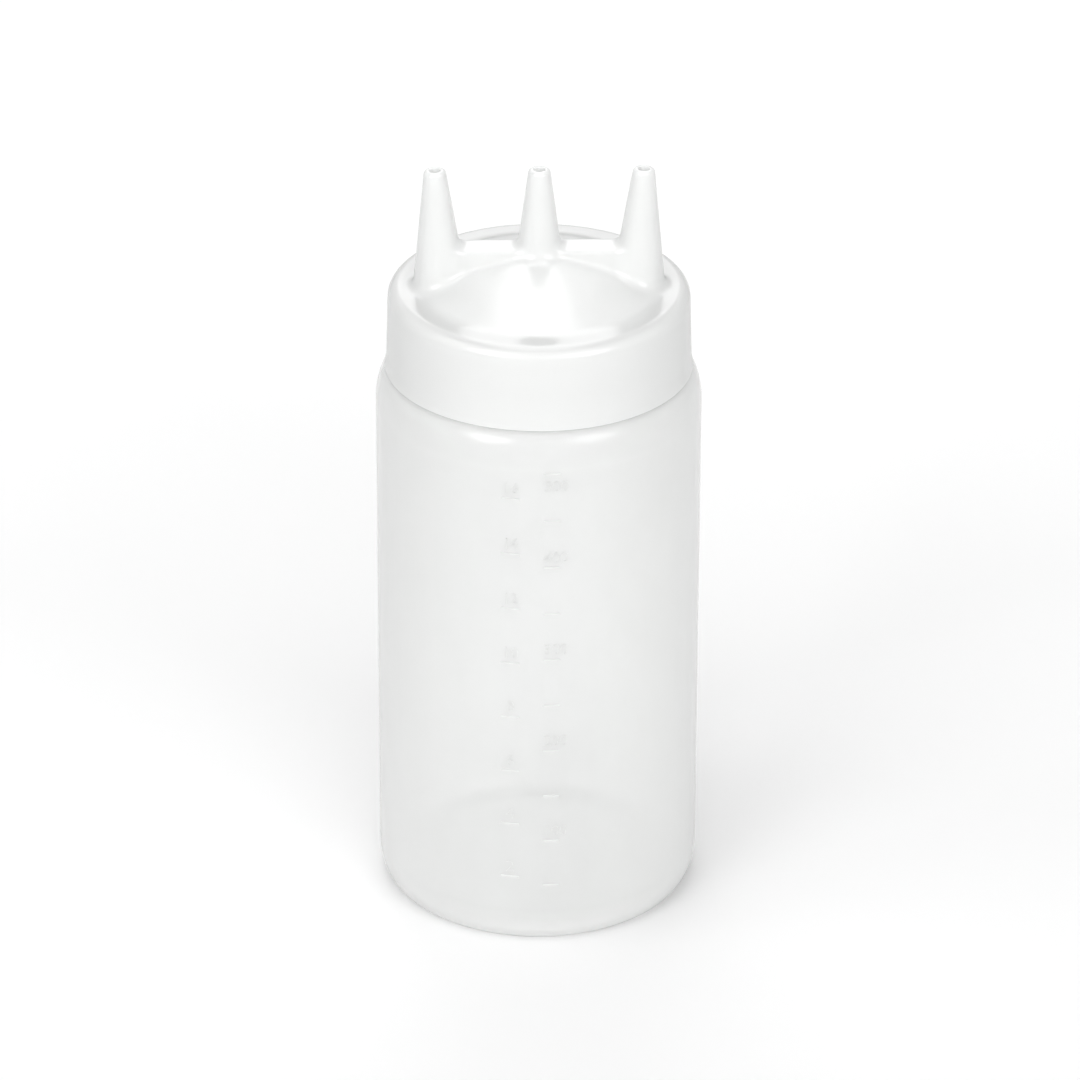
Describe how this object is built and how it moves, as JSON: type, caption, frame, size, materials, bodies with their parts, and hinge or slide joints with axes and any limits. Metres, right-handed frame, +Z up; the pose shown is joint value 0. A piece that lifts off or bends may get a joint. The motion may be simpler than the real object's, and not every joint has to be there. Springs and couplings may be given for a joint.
{
  "type": "squeeze bottle with nozzle cap",
  "caption": "Wide mouth squeeze bottle for sauces, in natural translucent plastic with moulded graduations, closed by a screw cap that carries cone nozzles joined by a low bar.",
  "frame": {"origin": "middle of the ring that the bottle stands on, in the plane of the table", "axes": "+Z up the bottle's axis to the nozzles, +X along the row of nozzles to the right as seen from the front, -Y to the front where the graduations are"},
  "size_m": [0.075, 0.0752, 0.182],
  "materials": {
    "body_plastic": "natural low density polyethylene, blow moulded, cloudy translucent with a soft sheen",
    "cap_plastic": "natural low density polyethylene, injection moulded, milky with a satin sheen",
    "seal_foam": "soft white closed cell polyethylene"
  },
  "bodies": {
    "bottle": {"bottle_body": "body_plastic"},
    "seal": {"seal_ring": "seal_foam"},
    "cap": {"nozzle_cap": "cap_plastic"}
  },
  "joints": [
    {"name": "cap_lift", "type": "slide", "parent": "bottle", "child": "seal", "axis": [0, 0, 1], "range_m": [0, 0.0191]},
    {"name": "cap_turn", "type": "hinge", "parent": "seal", "child": "cap", "pos_m": [0, 0, 0.1504], "axis": [0, 0, 1], "range_deg": [0, 1080]}
  ],
  "couplings": [
    {"joint": "cap_lift", "follows": "cap_turn", "m_per_rad": 0.0010106}
  ]
}
